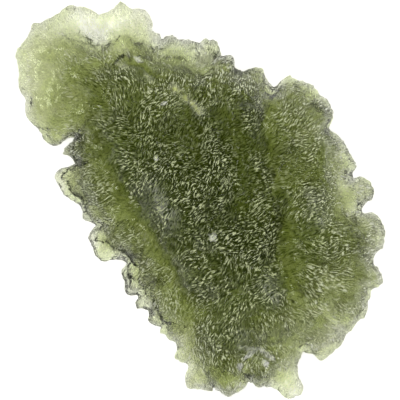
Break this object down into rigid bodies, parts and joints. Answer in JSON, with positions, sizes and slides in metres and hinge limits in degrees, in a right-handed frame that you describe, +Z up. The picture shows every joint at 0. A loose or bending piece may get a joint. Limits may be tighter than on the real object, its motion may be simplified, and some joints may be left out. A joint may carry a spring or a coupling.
{
  "type": "moldavite",
  "caption": "Rough moldavite, a flat natural green glass stone with a jagged rim, a thick grooved core and a thin pale head, lying on a small flat spot.",
  "frame": {"origin": "centre of the stone's box on the surface it lies on", "axes": "+X along the stone from the thin head to the toothed foot, +Z up through its thickness"},
  "size_m": [0.0458, 0.029, 0.0089],
  "materials": {
    "moldavite_glass": "etched, silky natural glass, clear bottle green and darker where it is thick"
  },
  "bodies": {
    "root": {"moldavite": "moldavite_glass"}
  },
  "joints": []
}
